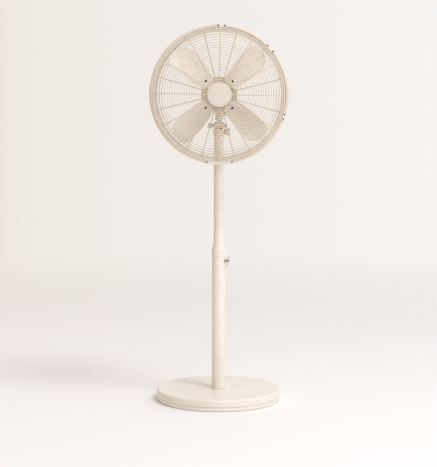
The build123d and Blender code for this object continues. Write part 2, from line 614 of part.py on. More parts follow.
def wire_grille(name, points, bend, first_angle, ring_side, ring_radii, side_count, plate):
    """One half of the cage: a plate and radial wires, with rings on their outer side."""
    path = spoke_path(points, bend)
    profile = Plane(origin=path @ 0, z_dir=path % 0) * Circle(SPOKE_WIRE_R)
    spoke = sweep(profile, path=path)
    spokes = around(spoke, SPOKE_COUNT, first_angle)

    lift = ring_side * (RING_WIRE_R + SPOKE_WIRE_R + 0.02)
    rings = []
    for radius in ring_radii:
        height = height_on(path, radius)
        slope = (height_on(path, radius + 1) - height) if radius > points[0][0] else 0.0
        reach = math.hypot(1, slope)
        ring = Torus(radius - slope / reach * lift, RING_WIRE_R)
        rings.append(Pos(0, 0, height + lift / reach) * ring)
    side_rings = [item.solid() for item in rings[:side_count]]
    keep(f"{name}_side_rings", in_head(Compound(side_rings)))
    keep(f"{name}_spokes", in_head(Compound([item.solid() for item in spokes])))
    face = [plate.solid()] + [item.solid() for item in rings[side_count:]]
    keep(name, in_head(Compound(face)))


def make_cage(other_screws):
    front = [(30, 164), (186, 158), (210.8, 114.5)]
    front_plate = tube(42, 6, 159.9, 161.6)
    radii = [OUTER_RING_R - RING_PITCH * step for step in range(RING_COUNT)]
    front_radii = list(FRONT_FLANK_RINGS) + [r for r in radii if r > 46]
    side_count = len(FRONT_FLANK_RINGS) + SIDE_RING_COUNT
    wire_grille("front_grille", front, 70, 90 + SPOKE_TURN, 1, front_radii, side_count, front_plate)

    rear_plate = tube(60, 20.3, MOTOR_FRONT + 0.05, MOTOR_FRONT + 2.0)
    for hole in around(Pos(33, 0, 0) * rod(2.2, 40, 60), 4):
        rear_plate = rear_plate - hole
    for hole in around(Pos(47, 0, 0) * rod(4.2, 40, 60), 4, 45):
        rear_plate = rear_plate - hole
    rear = [(57, 51.6), (188, 57), (211.0, 95.5)]
    rear_radii = list(REAR_FLANK_RINGS) + [r * REAR_RING_SCALE for r in radii if r > 63]
    side_count = len(REAR_FLANK_RINGS) + SIDE_RING_COUNT
    wire_grille("rear_grille", rear, 55, 90 + SPOKE_TURN + 15, -1, rear_radii, side_count, rear_plate)

    rims = [Pos(0, 0, place) * rolled_rim() for place in (FRONT_RIM_F, REAR_RIM_F)]
    keep("cage_rims", in_head(Compound([item.solid() for item in rims])))
    screw = Pos(33, 0, MOTOR_FRONT + 2.05) * pan_screw(4.2, 2.6, 1.9, 5.5)
    keep("head_screws", in_head(Compound(around(screw, 4) + other_screws)))

    cap = turned([
        (0, 165.6),
        (38.4, 165.6),
        (39.5, 166.6),
        (39.5, 172.6),
        (38.2, 174.4),
        (36.2, 174.4),
        (35.0, 173.2),
        (24.0, 174.0),
        (12.0, 174.4),
        (0, 174.5),
    ])
    keep("hub_cap", in_head(cap))


def rolled_rim():
    """A ring rolled from strip into a round channel, whose gap faces the axis."""
    gap = 35.0
    inner_r = RIM_TUBE_R - RIM_SHEET
    corners = []
    for r in (RIM_TUBE_R, inner_r):
        for angle in (180 - gap, 0, 180 + gap):
            turn = math.radians(angle)
            corners.append((CAGE_R + r * math.cos(turn), 0, r * math.sin(turn)))
    outline = ThreePointArc(corners[0], corners[1], corners[2])
    outline = outline + Line(corners[2], corners[5])
    outline = outline + ThreePointArc(corners[5], corners[4], corners[3])
    outline = outline + Line(corners[3], corners[0])
    return revolve(make_face(outline), Axis.Z)


def rim_clip(span):
    """A pressed clip that wraps both rims, span degrees long, centred on +X."""
    outer = CAGE_R + RIM_TUBE_R + 0.2
    front = FRONT_RIM_F + RIM_TUBE_R + 0.2
    back = REAR_RIM_F - RIM_TUBE_R - 0.2
    sheet = 1.0
    lip = 9.0
    outline = Polyline(
        (outer - lip, 0, front), (outer, 0, front), (outer, 0, back), (outer - lip, 0, back),
        (outer - lip, 0, back - sheet), (outer + sheet, 0, back - sheet),
        (outer + sheet, 0, front + sheet), (outer - lip, 0, front + sheet), close=True)
    return Rot(0, 0, -span / 2) * revolve(make_face(outline), Axis.Z, revolution_arc=span)


def make_clips():
    screw_r = CAGE_R + 2.0
    front = FRONT_RIM_F + RIM_TUBE_R + 1.2
    # Middle of the clip, its length and the distance of its screws from the middle, all in degrees.
    layouts = [(88, 7.4, 2.6), (42, 8.6, 3.3), (-18.7, 6.6, 2.0), (270.3, 24.0, 10.7)]
    clips = []
    screws = []
    stub = pan_screw(2.7, 1.7, 1.4, 1.2)
    for angle, span, offset in layouts:
        clip = Rot(0, 0, angle) * rim_clip(span)
        for side in (-offset, offset):
            spot = Rot(0, 0, angle + side) * Pos(screw_r, 0, front)
            clip = clip - spot * rod(1.45, -5, 5)
            screws.append(spot * Pos(0, 0, 0.03) * stub)
        clips.append(clip)
    keep("rim_clips", in_head(Compound([item.solid() for item in clips])))
    keep("clip_screws", in_head(Compound([item.solid() for item in screws])))


# ---- Build and write ----------------------------------------------------------------------------

def main():
    make_base()
    make_pole_foot()
    make_lower_pole()
    make_height_screw()
    make_upper_pole()
    make_socket()
    make_tilt_joint()
    screws = make_motor() + make_gearbox()
    make_rear_cap()
    pin_x, pin_y = make_gear_train()
    make_link(pin_x, pin_y)
    make_swing_knob()
    make_blades()
    make_rotor()
    make_cage(screws)
    make_clips()
    os.makedirs("parts", exist_ok=True)
    for name, shape in nodes.items():
        export_step(shape, f"parts/{name}.step")
    print(len(nodes), "nodes written")


main()
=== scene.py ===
# %% [markdown]
# # A pedestal fan in cream enamel
# The engineering model of the fan comes in as a fixed frame: every part is already in its place and at
# its size. This lesson adds what the eye wants: paint, plastic and bare metal that behave like the real
# ones, weld spots, pressed edges and screw heads. Lengths are in metres throughout.

import json
import math

import bmesh
import bpy
import numpy as np
from mathutils import Matrix, Vector


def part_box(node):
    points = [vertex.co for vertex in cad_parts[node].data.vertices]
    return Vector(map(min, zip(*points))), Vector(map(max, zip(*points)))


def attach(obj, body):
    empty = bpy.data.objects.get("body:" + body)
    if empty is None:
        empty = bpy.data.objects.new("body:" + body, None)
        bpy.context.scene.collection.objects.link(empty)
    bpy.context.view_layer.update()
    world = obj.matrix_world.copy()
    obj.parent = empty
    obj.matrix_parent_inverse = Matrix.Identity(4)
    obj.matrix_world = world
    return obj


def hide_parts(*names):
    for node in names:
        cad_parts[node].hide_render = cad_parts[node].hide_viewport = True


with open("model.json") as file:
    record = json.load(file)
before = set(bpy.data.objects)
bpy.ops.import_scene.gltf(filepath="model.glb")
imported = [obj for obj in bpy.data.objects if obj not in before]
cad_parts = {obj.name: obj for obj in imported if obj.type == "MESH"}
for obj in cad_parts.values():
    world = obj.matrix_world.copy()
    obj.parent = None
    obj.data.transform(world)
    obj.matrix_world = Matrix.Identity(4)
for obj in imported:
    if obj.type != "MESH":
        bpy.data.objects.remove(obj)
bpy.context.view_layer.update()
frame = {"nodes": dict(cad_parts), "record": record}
MM = 0.001
print("parts in the frame:", len(frame["nodes"]))

# %% [markdown]
# ## Where things are
# Places are read from the frame wherever a part is there to measure. The fan's axis runs through the
# middle of its hub cap, and the pole's axis is the upright line through the origin. A small matrix turns
# "forwards along the fan's axis" into the frame's -Y, so that round pieces of the head can be drawn about
# their own Z.

# %% Middles and axes
def middle(node):
    low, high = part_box(node)
    return (low + high) / 2


def turned_by(degrees, axis="Z"):
    return Matrix.Rotation(math.radians(degrees), 4, axis)


BODY_OF = {node: body for body, names in frame["record"]["behaviour"]["bodies"].items() for node in names}
SLOT_OF = {entry["node"]: entry["material_slot"] for entry in frame["record"]["subparts"]}
AXIS_Z = middle("hub_cap").z
HEAD = Matrix.Translation((0, 0, AXIS_Z)) @ turned_by(90, "X")
TOP_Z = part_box("rim_clips")[1].z
print("fan axis at", round(AXIS_Z, 4), "m, top of the fan at", round(TOP_Z, 4), "m")

# %% [markdown]
# ## Camera
# The fan is seen from straight in front, with the lens at the height of the fan's own axis and pitched
# down a little, so that the round base opens into a flat ellipse. A long lens keeps the pole upright. The
# distances are in metres, the lens in millimetres and the angles in degrees.

# %% Camera
CAMERA_DISTANCE = 4.6
CAMERA_LENS = 106.84
CAMERA_PITCH = 5.62
CAMERA_BELOW_AXIS = 0.008
CAMERA_ROLL = 0.12
CAMERA_SIDE = -0.001

camera_data = bpy.data.cameras.new("camera")
camera_data.lens = CAMERA_LENS
camera = bpy.data.objects.new("camera", camera_data)
camera.location = (CAMERA_SIDE, -CAMERA_DISTANCE, AXIS_Z - CAMERA_BELOW_AXIS)
camera.rotation_euler = (turned_by(90 - CAMERA_PITCH, "X") @ turned_by(CAMERA_ROLL)).to_euler()
bpy.context.scene.collection.objects.link(camera)
bpy.context.scene.camera = camera
print("camera at", [round(v, 3) for v in camera.location])

# %% [markdown]
# ## Colour and node helpers
# Colours are written as the hex values a painter would quote, which are sRGB. Blender's shaders work in
# linear light, so one function turns them. Another adds a node with its settings and its links, which
# keeps each material short enough to read at a glance.

# %% Colour and node helpers
def linear(hex_colour):
    values = [int(hex_colour[i:i + 2], 16) / 255 for i in (0, 2, 4)]
    return [v / 12.92 if v <= 0.04045 else ((v + 0.055) / 1.055) ** 2.4 for v in values] + [1.0]


def add_node(tree, kind, settings=None, **links):
    """Adds a node. A setting is a socket's value or the node's own property; a link is a socket."""
    node = tree.nodes.new(kind)
    for name, value in (settings or {}).items():
        if isinstance(name, int) or name in node.inputs:
            node.inputs[name].default_value = value
        else:
            setattr(node, name, value)
    for name, source in links.items():
        socket = int(name[1:]) if name[0] == "_" else name.replace("_", " ")
        tree.links.new(source, node.inputs[socket])
    return node


def new_material(name):
    """An empty node material with its surface shader, and coordinates in real metres."""
    material = bpy.data.materials.new(name)
    material.use_nodes = True
    tree = material.node_tree
    shader = tree.nodes["Principled BSDF"]
    place = add_node(tree, "ShaderNodeTexCoord").outputs["Object"]
    return material, tree, shader, place


def ramp(tree, source, stops):
    """A colour ramp from (position, hex colour or grey) stops."""
    node = add_node(tree, "ShaderNodeValToRGB", None, Fac=source)
    while len(node.color_ramp.elements) < len(stops):
        node.color_ramp.elements.new(0.5)
    for element, (position, colour) in zip(node.color_ramp.elements, stops):
        element.position = position
        element.color = linear(colour) if isinstance(colour, str) else (colour, colour, colour, 1)
    return node.outputs["Color"]


def bump(tree, shader, height, depth_mm):
    """Raises the surface by up to this depth where the height is 1."""
    node = add_node(tree, "ShaderNodeBump", {"Strength": 1.0, "Distance": depth_mm * MM}, Height=height)
    tree.links.new(node.outputs["Normal"], shader.inputs["Normal"])


print("helpers ready; cream in linear light:", [round(v, 3) for v in linear("EBE3D7")[:3]])

# %% [markdown]
# ## Cream enamel on castings, tubes and pressed sheet
# Stoved enamel is a coloured film a tenth of a millimetre thick, sprayed on and baked. It gives the eye a
# soft, warm body colour, a broad satin highlight, and close up the faint "orange peel" of a sprayed film.
# The colour is never quite even: the film is a little thinner and warmer here and there, and it picks up
# a trace of grey dust. So the base colour comes from two noises. A third one varies the sheen, where
# hands and cloths have rubbed it, and a fourth gives the peel.

# %% Enamel
def enamel(name, colour, warm, roughness, peel_mm, peel_depth_mm, coat):
    material, tree, shader, place = new_material(name)
    cloud = add_node(tree, "ShaderNodeTexNoise", {"Scale": 1 / (90 * MM), "Detail": 3.0}, Vector=place)
    shade = ramp(tree, cloud.outputs["Fac"], [(0.30, warm), (0.62, colour)])
    speck = add_node(tree, "ShaderNodeTexNoise", {"Scale": 1 / (1.1 * MM), "Detail": 2.0}, Vector=place)
    dots = ramp(tree, speck.outputs["Fac"], [(0.66, "FFFFFF"), (0.80, "D8CDB8")])
    mixed = add_node(tree, "ShaderNodeMix", {"data_type": "RGBA", "blend_type": "MULTIPLY", 0: 0.5},
                     _6=shade, _7=dots)
    tree.links.new(mixed.outputs[2], shader.inputs["Base Color"])
    rub = add_node(tree, "ShaderNodeTexNoise", {"Scale": 1 / (35 * MM), "Detail": 5.0}, Vector=place)
    gloss = ramp(tree, rub.outputs["Fac"], [(0.3, roughness - 0.05), (0.7, roughness + 0.07)])
    tree.links.new(gloss, shader.inputs["Roughness"])
    peel = add_node(tree, "ShaderNodeTexNoise", {"Scale": 1 / (peel_mm * MM), "Detail": 1.5}, Vector=place)
    bump(tree, shader, peel.outputs["Fac"], peel_depth_mm)
    shader.inputs["IOR"].default_value = 1.5
    shader.inputs["Coat Weight"].default_value = coat
    shader.inputs["Coat Roughness"].default_value = 0.22
    return material


MATERIALS = {
    "cream_paint": enamel("satin_enamel", "EBE3D7", "E7DDCE", 0.42, 2.4, 0.05, 0.15),
    "wire_paint": enamel("powder_coat_on_wire", "DFD2BF", "D7C8B3", 0.46, 1.6, 0.06, 0.08),
    # The hub cap takes a darker copy of the cream enamel: painted shade, which tones down the light that falls
    # on the cap's flat face.
    "painted_shade_cap_paint": enamel("satin_enamel_with_painted_shade_on_hub_cap", "DDD2C5", "D7CABB", 0.46, 2.4, 0.04, 0.08),
    "blade_paint": enamel("satin_enamel_on_pressed_sheet", "F0E9DD", "ECE2D4", 0.48, 2.8, 0.02, 0.06),
}
print("enamels:", sorted(MATERIALS))

# %% [markdown]
# ## Moulded plastic and rubber
# Knobs and the screw grip are injection-moulded ABS: the steel mould leaves an even, very fine grain and
# a low sheen. Nylon gears and bushes are whiter and waxier, and let a little light in. The foot ring and
# the cord's gland are rubber: dark and matt.

# %% Plastics and rubber
def moulded(name, colour, darker, roughness, grain_mm, grain_depth_mm, inner_light=0.0):
    material, tree, shader, place = new_material(name)
    drift = add_node(tree, "ShaderNodeTexNoise", {"Scale": 1 / (20 * MM), "Detail": 2.0}, Vector=place)
    shade = ramp(tree, drift.outputs["Fac"], [(0.35, darker), (0.65, colour)])
    tree.links.new(shade, shader.inputs["Base Color"])
    grain = add_node(tree, "ShaderNodeTexNoise", {"Scale": 1 / (grain_mm * MM), "Detail": 2.0}, Vector=place)
    gloss = ramp(tree, grain.outputs["Fac"], [(0.3, roughness - 0.04), (0.7, roughness + 0.06)])
    tree.links.new(gloss, shader.inputs["Roughness"])
    bump(tree, shader, grain.outputs["Fac"], grain_depth_mm)
    shader.inputs["IOR"].default_value = 1.53
    shader.inputs["Subsurface Weight"].default_value = inner_light
    shader.inputs["Subsurface Scale"].default_value = 2 * MM
    return material


MATERIALS["cream_plastic"] = moulded("moulded_abs", "E3D8C8", "DCCFBC", 0.36, 0.8, 0.04)
MATERIALS["nylon"] = moulded("moulded_nylon", "E4E0D4", "DAD5C6", 0.45, 1.2, 0.04, 0.1)
MATERIALS["dark_plastic"] = moulded("black_moulded_abs", "1C1B1A", "161514", 0.42, 0.8, 0.04)
MATERIALS["rubber"] = moulded("moulded_rubber", "35322F", "2A2826", 0.72, 1.5, 0.08)
print("plastics and rubber added:", len(MATERIALS))

# %% [markdown]
# ## Metals
# Zinc-plated steel is a dull, slightly warm silver with a fine brushed or tumbled grain. Sheet laminations
# are darker and show their edges as thin lines. Copper wire is lacquered, bronze bushes are sintered and
# a little porous, and cast iron is rough and nearly black. Metals keep the default IOR: their colour is
# the colour of what they mirror.

# %% Metals
def metal(name, colour, darker, roughness, grain_mm, grain_depth_mm, stretch=(1, 1, 1)):
    material, tree, shader, place = new_material(name)
    scaled = add_node(tree, "ShaderNodeMapping", {"Scale": stretch}, Vector=place).outputs["Vector"]
    grain = add_node(tree, "ShaderNodeTexNoise", {"Scale": 1 / (grain_mm * MM), "Detail": 4.0}, Vector=scaled)
    shade = ramp(tree, grain.outputs["Fac"], [(0.32, darker), (0.68, colour)])
    tree.links.new(shade, shader.inputs["Base Color"])
    gloss = ramp(tree, grain.outputs["Fac"], [(0.3, roughness + 0.08), (0.7, roughness - 0.06)])
    tree.links.new(gloss, shader.inputs["Roughness"])
    bump(tree, shader, grain.outputs["Fac"], grain_depth_mm)
    shader.inputs["Metallic"].default_value = 1.0
    return material


MATERIALS["zinc_steel"] = metal("zinc_plated_steel", "C6BEB1", "A8A092", 0.34, 0.7, 0.03, (1, 1, 0.25))
MATERIALS["dark_zinc"] = metal("blackened_zinc_steel", "5C564E", "3E3A35", 0.42, 0.6, 0.03)
MATERIALS["lamination_steel"] = metal("stacked_lamination_steel", "6F6F73", "4C4C50", 0.5, 0.5, 0.05,
                                      (0.05, 1, 0.05))
MATERIALS["copper_wire"] = metal("lacquered_copper_wire", "B8693E", "8C4526", 0.35, 0.6, 0.1, (1, 0.1, 1))
MATERIALS["bronze"] = metal("sintered_bronze", "A8844E", "7D5F35", 0.5, 0.4, 0.03)
MATERIALS["cast_iron"] = metal("cast_iron", "4A4846", "302F2E", 0.68, 1.6, 0.2)
print("materials:", len(MATERIALS))

# %% [markdown]
# ## Dress the engineering parts
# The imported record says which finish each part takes, so one loop gives every part its material. The
# parts keep their own meshes; pieces that stand in for some of them are added in the steps below.

# %% Dress the parts
for name, part in frame["nodes"].items():
    part.data.materials.clear()
    part.data.materials.append(MATERIALS["dark_zinc" if name == "blade_screws" else SLOT_OF[name]])
print("dressed", len(SLOT_OF), "parts")

# %% [markdown]
# ## Tools for pieces
# A few small tools make every added piece. `piece` turns a finished draft mesh into an object that rides
# with a part's body. `soften` rounds the corners of an outline, since no pressed or moulded edge is
# sharp. `lathe` turns an outline about Z. `placed` puts copies of one draft in several places, and `at`
# gives such a place in millimetres.

# %% Piece tools
def piece(name, draft, node, slot=None, place=None, sharp=38, instead_of=(), paint=None):
    """Makes an object of a draft; it rides with the body of this part and may stand for some parts."""
    if place is not None:
        draft.transform(place)
    bmesh.ops.recalc_face_normals(draft, faces=draft.faces)
    mesh = bpy.data.meshes.new(name)
    draft.to_mesh(mesh)
    draft.free()
    mesh.shade_smooth()
    mesh.set_sharp_from_angle(angle=math.radians(sharp))
    slot = slot or SLOT_OF[node]
    mesh.materials.append(MATERIALS[paint or slot])
    made = bpy.data.objects.new(name, mesh)
    bpy.context.scene.collection.objects.link(made)
    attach(made, BODY_OF[node])
    if instead_of:
        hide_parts(*instead_of)
    return made


def soften(outline, radius_mm, steps=4):
    """Rounds every corner of a closed outline of (across, up) points, given in millimetres."""
    corners = [Vector(point) for point in outline]
    rounded = []
    for index, corner in enumerate(corners):
        before = corners[index - 1] - corner
        after = corners[(index + 1) % len(corners)] - corner
        if corner.x < 1e-6:
            rounded.append(corner)
            continue
        reach = min(radius_mm, before.length * 0.45, after.length * 0.45)
        start = corner + before.normalized() * reach
        end = corner + after.normalized() * reach
        for step in range(steps + 1):
            t = step / steps
            rounded.append(start.lerp(corner, t).lerp(corner.lerp(end, t), t))
    return [(point.x, point.y) for point in rounded]


def lathe(outline, steps=160):
    """A draft turned about Z from a closed outline of (radius, height) points in millimetres."""
    draft = bmesh.new()
    rings = []
    for step in range(steps):
        turn = 2 * math.pi * step / steps
        across, along = math.cos(turn) * MM, math.sin(turn) * MM
        rings.append([draft.verts.new((r * across, r * along, z * MM)) for r, z in outline])
    for step in range(steps):
        here, there = rings[step], rings[(step + 1) % steps]
        for index in range(len(outline)):
            after = (index + 1) % len(outline)
            draft.faces.new((here[index], there[index], there[after], here[after]))
    bmesh.ops.remove_doubles(draft, verts=draft.verts, dist=1e-7)
    return draft


def placed(draft, places):
    """A draft with one copy of this draft at each place."""
    single = bpy.data.meshes.new("single")
    draft.to_mesh(single)
    draft.free()
    together = bmesh.new()
    for place in places:
        first = len(together.verts)
        together.from_mesh(single)
        together.verts.ensure_lookup_table()
        bmesh.ops.transform(together, matrix=place, verts=together.verts[first:])
    bpy.data.meshes.remove(single)
    return together


def at(x, y, z):
    """A place in millimetres."""
    return Matrix.Translation((x * MM, y * MM, z * MM))


print("piece tools ready")

# %% [markdown]
# ## Softened edges
# A casting or a folded sheet never ends in a razor edge, and the thin bright line along each edge is what
# makes it look solid. Each part below is copied, its flat triangles are joined into whole faces, and its
# sharp edges are rounded by a few tenths of a millimetre. The copy then stands for the part.

# %% Softened edges
MERGE_MM = 0.004
FLAT_DEGREES = 0.7


def softened(node, width_mm, sharp=28):
    draft = bmesh.new()
    draft.from_mesh(frame["nodes"][node].data)
    bmesh.ops.remove_doubles(draft, verts=draft.verts, dist=MERGE_MM * MM)
    flat = math.radians(FLAT_DEGREES)
    bmesh.ops.dissolve_limit(draft, angle_limit=flat, verts=draft.verts, edges=draft.edges)
    edges = [edge for edge in draft.edges
             if len(edge.link_faces) == 2 and edge.calc_face_angle(0) > math.radians(sharp)]
    bmesh.ops.bevel(draft, geom=edges, offset=width_mm * MM, offset_type="OFFSET", segments=2,
                    profile=0.5, affect="EDGES", clamp_overlap=True)
    made = piece(node + "_soft", draft, node, instead_of=(node,))
    made.modifiers.new("even_shading", "WEIGHTED_NORMAL").keep_sharp = True


SOFT_EDGES = {
    "height_collar": 0.35, "pole_flange": 0.6, "head_socket": 0.8, "tilt_neck": 0.8,
    "motor_front_housing": 0.6, "motor_rear_housing": 0.5, "gearbox_housing": 0.8, "gearbox_plate": 0.5,
    "rear_cap": 0.5, "cord_gland": 0.6, "link_arm": 0.4, "crank_disc": 0.5,
    "blade_1": 0.3, "blade_2": 0.3, "blade_3": 0.3, "blade_4": 0.3, "blade_spider": 0.5,
    "foot_ring": 0.8, "rim_clips": 0.3, "capacitor": 0.5, "speed_switch": 0.5,
    "base_tray": 0.5, "tilt_nut": 0.5, "tilt_bolt": 0.4, "height_screw": 0.3,
}
for node, width in SOFT_EDGES.items():
    softened(node, width)
print("softened", len(SOFT_EDGES), "parts")

# %% [markdown]
# ## Base cover
# The round cover is drawn from one steel sheet. Its top edge is rounded by the drawing tool, its top sinks
# by a hair towards the pole, and its lower edge is rolled in a little where it meets the tray.

# %% Base cover
low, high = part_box("base_cover")
cover_r = (high.y - low.y) / 2 / MM - 0.02
cover_top, cover_foot = high.z / MM, low.z / MM
hole_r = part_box("lower_pole")[1].x / MM + 0.4
sheet = 1.4
cover_outline = [
    (hole_r, cover_top - 0.5), (hole_r + 18, cover_top - 0.5), (cover_r - 9, cover_top),
    (cover_r - 3.4, cover_top - 0.2), (cover_r - 0.9, cover_top - 1.6), (cover_r, cover_top - 4.6),
    (cover_r, cover_foot + 0.8), (cover_r - 0.9, cover_foot), (cover_r - sheet - 0.8, cover_foot + 0.6),
    (cover_r - sheet, cover_foot + 3), (cover_r - sheet, cover_top - 5), (cover_r - 6, cover_top - sheet - 0.6),
    (hole_r, cover_top - sheet - 0.6),
]
piece("base_cover_drawn", lathe(soften(cover_outline, 1.6), 256), "base_cover", instead_of=("base_cover",))
print("base cover", round(2 * cover_r), "mm across,", round(cover_top - cover_foot, 1), "mm high")

# %% [markdown]
# ## Hub cap
# The cap in the middle of the front grille is a pressed disc: a rolled outer edge, a shallow trough
# inside it, and a plain, very slightly domed face.

# %% Hub cap
low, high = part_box("hub_cap")
cap_r = (high.x - low.x) / 2 / MM
cap_depth = (high.y - low.y) / MM
cap_outline = [
    (0, 0), (cap_r - 3, 0), (cap_r - 0.6, 0.8), (cap_r, 3.2), (cap_r - 0.3, cap_depth - 2.6),
    (cap_r - 1.9, cap_depth - 0.7), (cap_r - 3.4, cap_depth - 0.6), (cap_r - 4.4, cap_depth - 1.3),
    (cap_r - 5.2, cap_depth - 1.3), (cap_r - 6.4, cap_depth - 0.5), (cap_r - 18, cap_depth - 0.3),
    (0, cap_depth - 0.05),
]
cap_place = HEAD @ Matrix.Translation((0, 0, -high.y))
# The cap wears the darker copy of the enamel: painted shade on its flat face.
piece("hub_cap_pressed", lathe(soften(cap_outline, 1.2), 192), "hub_cap", place=cap_place,
      instead_of=("hub_cap",), paint="painted_shade_cap_paint")
print("hub cap", round(2 * cap_r), "mm across")

# %% [markdown]
# ## Weld spots on the wires
# Every ring is resistance-welded to every spoke it crosses, which leaves a small flattened bead in the
# corner between the wires. The rings' places are read from the mesh: in a narrow slice half way between
# two spokes, the vertices form one cluster per ring. The rim of the rear plate counts as one more, since
# the rear spokes are welded to it too. There are some five hundred beads, drawn as one mesh per grille.

# %% Weld spots
SPOKES = 12
WIRE_GAP_MM = 1.2          # from a ring's middle to the bead between it and the spoke
SLICE_DEGREES = 2.5        # half the width of the slice
RING_BREAK_MM = 1.5        # a wider step than this between radii starts a new ring
RING_THICKEST_MM = 3.0     # a wider cluster than this isn't a ring


def head_points(node):
    """A part's vertices in head coordinates: distance from the axis, angle and distance forwards."""
    mesh = frame["nodes"][node].data
    flat = np.empty(len(mesh.vertices) * 3, dtype=np.float32)
    mesh.vertices.foreach_get("co", flat)
    x, y, z = flat.reshape(-1, 3).T
    up = z - AXIS_Z
    return np.hypot(x, up) / MM, np.degrees(np.arctan2(up, x)), -y / MM


def ring_places(names, angle):
    """(radius, forwards) of the middle of each ring near this angle."""
    found = []
    for node in names:
        radius, turn, forwards = head_points(node)
        near = np.abs((turn - angle + 180) % 360 - 180) < SLICE_DEGREES
        order = np.argsort(radius[near])
        radius, forwards = radius[near][order], forwards[near][order]
        breaks = np.nonzero(np.diff(radius) > RING_BREAK_MM)[0] + 1
        for cluster in np.split(np.arange(len(radius)), breaks):
            if len(cluster) > 3 and np.ptp(radius[cluster]) < RING_THICKEST_MM:
                found.append((radius[cluster].min() / 2 + radius[cluster].max() / 2,
                              forwards[cluster].min() / 2 + forwards[cluster].max() / 2))
    return sorted(found)


def weld_spots(name, rings, node, first_angle, side):
    """Beads under the rings of one grille, on the side where the spokes are."""
    bead = bmesh.new()
    bmesh.ops.create_icosphere(bead, subdivisions=1, radius=1.0 * MM)
    bmesh.ops.scale(bead, vec=(1.9, 1.7, 0.75), verts=bead.verts)
    places = []
    for index, (radius, forwards) in enumerate(rings):
        after = rings[min(index + 1, len(rings) - 1)]
        before = rings[max(index - 1, 0)]
        slope = math.atan2(after[1] - before[1], after[0] - before[0])
        tilt = Matrix.Rotation(-slope, 4, "Y")
        spot = at(radius, 0, forwards) @ tilt @ at(0, 0, -side * WIRE_GAP_MM)
        for step in range(SPOKES):
            places.append(HEAD @ turned_by(first_angle + step * 360 / SPOKES) @ spot)
    piece(name, placed(bead, places), node)
    return len(places)


def spoke_angle(node):
    """The angle of one spoke, from the vertices far from the axis."""
    radius, turn, forwards = head_points(node)
    far = (radius > 120) & (radius < 160)
    folded = np.radians(turn[far] * SPOKES)
    return math.degrees(math.atan2(np.sin(folded).mean(), np.cos(folded).mean())) / SPOKES


for side, grille in ((1, "front_grille"), (-1, "rear_grille")):
    first = spoke_angle(grille + "_spokes")
    rings = ring_places((grille, grille + "_side_rings"), first + 180 / SPOKES)
    count = weld_spots(grille + "_weld_spots", rings, grille, first, side)
    print(grille, "spokes from", round(first, 1), "degrees,", len(rings), "rings,", count, "weld spots")

# %% [markdown]
# ## Cross-recess screws
# The screws of the rim clips are small pan heads with a cross recess. One head is a fine disc of rings
# whose height follows a dome, less the two arms of the cross with sloping walls. Copies go where the
# frame has its screws, read from the screws' own islands of vertices.

# %% Screws
def islands(node):
    """The boxes of the separate solids of a part, as (low, high) pairs in metres."""
    draft = bmesh.new()
    draft.from_mesh(frame["nodes"][node].data)
    bmesh.ops.remove_doubles(draft, verts=draft.verts, dist=1e-6)
    seen, boxes = set(), []
    for start in draft.verts:
        if start in seen:
            continue
        seen.add(start)
        queue, corners = [start], []
        while queue:
            vertex = queue.pop()
            corners.append(vertex.co)
            for edge in vertex.link_edges:
                other = edge.other_vert(vertex)
                if other not in seen:
                    seen.add(other)
                    queue.append(other)
        low = Vector([min(c[axis] for c in corners) for axis in range(3)])
        high = Vector([max(c[axis] for c in corners) for axis in range(3)])
        boxes.append((low, high))
    draft.free()
    return boxes


def screw_head(radius, height, shank_r, shank_length):
    """A pan head with a cross recess on Z = 0, in millimetres, with its shank below."""
    draft = bmesh.new()
    steps, levels = 48, 16
    recess = 0.62 * height
    rings = []
    for level in range(1, levels + 1):
        share = level / levels
        ring = []
        for step in range(steps):
            turn = 2 * math.pi * step / steps
            x, y = radius * share * math.cos(turn), radius * share * math.sin(turn)
            top = height * (1 - share ** 5) ** 0.45 if share < 1 else 0.0
            near, far = min(abs(x), abs(y)), max(abs(x), abs(y))
            across_arm = (0.17 * radius - near) / (0.06 * radius)
            along_arm = (0.62 * radius - far) / (0.12 * radius)
            wall = min(max(across_arm, 0), max(along_arm, 0), 1)
            ring.append(draft.verts.new((x * MM, y * MM, (top - recess * wall) * MM)))
        rings.append(ring)
    middle_vertex = draft.verts.new((0, 0, (height - recess) * MM))
    for step in range(steps):
        draft.faces.new((middle_vertex, rings[0][step], rings[0][(step + 1) % steps]))
    shank = [[draft.verts.new((shank_r * math.cos(2 * math.pi * s / steps) * MM,
                               shank_r * math.sin(2 * math.pi * s / steps) * MM, -drop * MM))
              for s in range(steps)] for drop in (0, shank_length)]
    rings = rings + shank
    for here, there in zip(rings, rings[1:]):
        for step in range(steps):
            after = (step + 1) % steps
            draft.faces.new((here[step], here[after], there[after], there[step]))
    draft.faces.new(rings[-1])
    return draft


clip_places = []
for index, (low, high) in enumerate(islands("clip_screws")):
    spot = (low + high) / 2
    place = Matrix.Translation((spot.x, high.y, spot.z)) @ turned_by(90, "X")
    clip_places.append(place @ at(0, 0, 1.2) @ turned_by(17 * index))
piece("clip_screws_cross", placed(screw_head(2.7, 1.65, 1.4, 1.2), clip_places), "clip_screws",
      paint="dark_zinc", instead_of=("clip_screws",))
print("clip screws:", len(clip_places))

# %% [markdown]
# ## Knobs
# All four knobs are moulded: the flutes for the fingers run out softly at both ends, the rim is rounded,
# and the face is dished where the moulding has shrunk. One function draws them from a table of levels,
# each with a radius, a height and how deep the flutes are there.

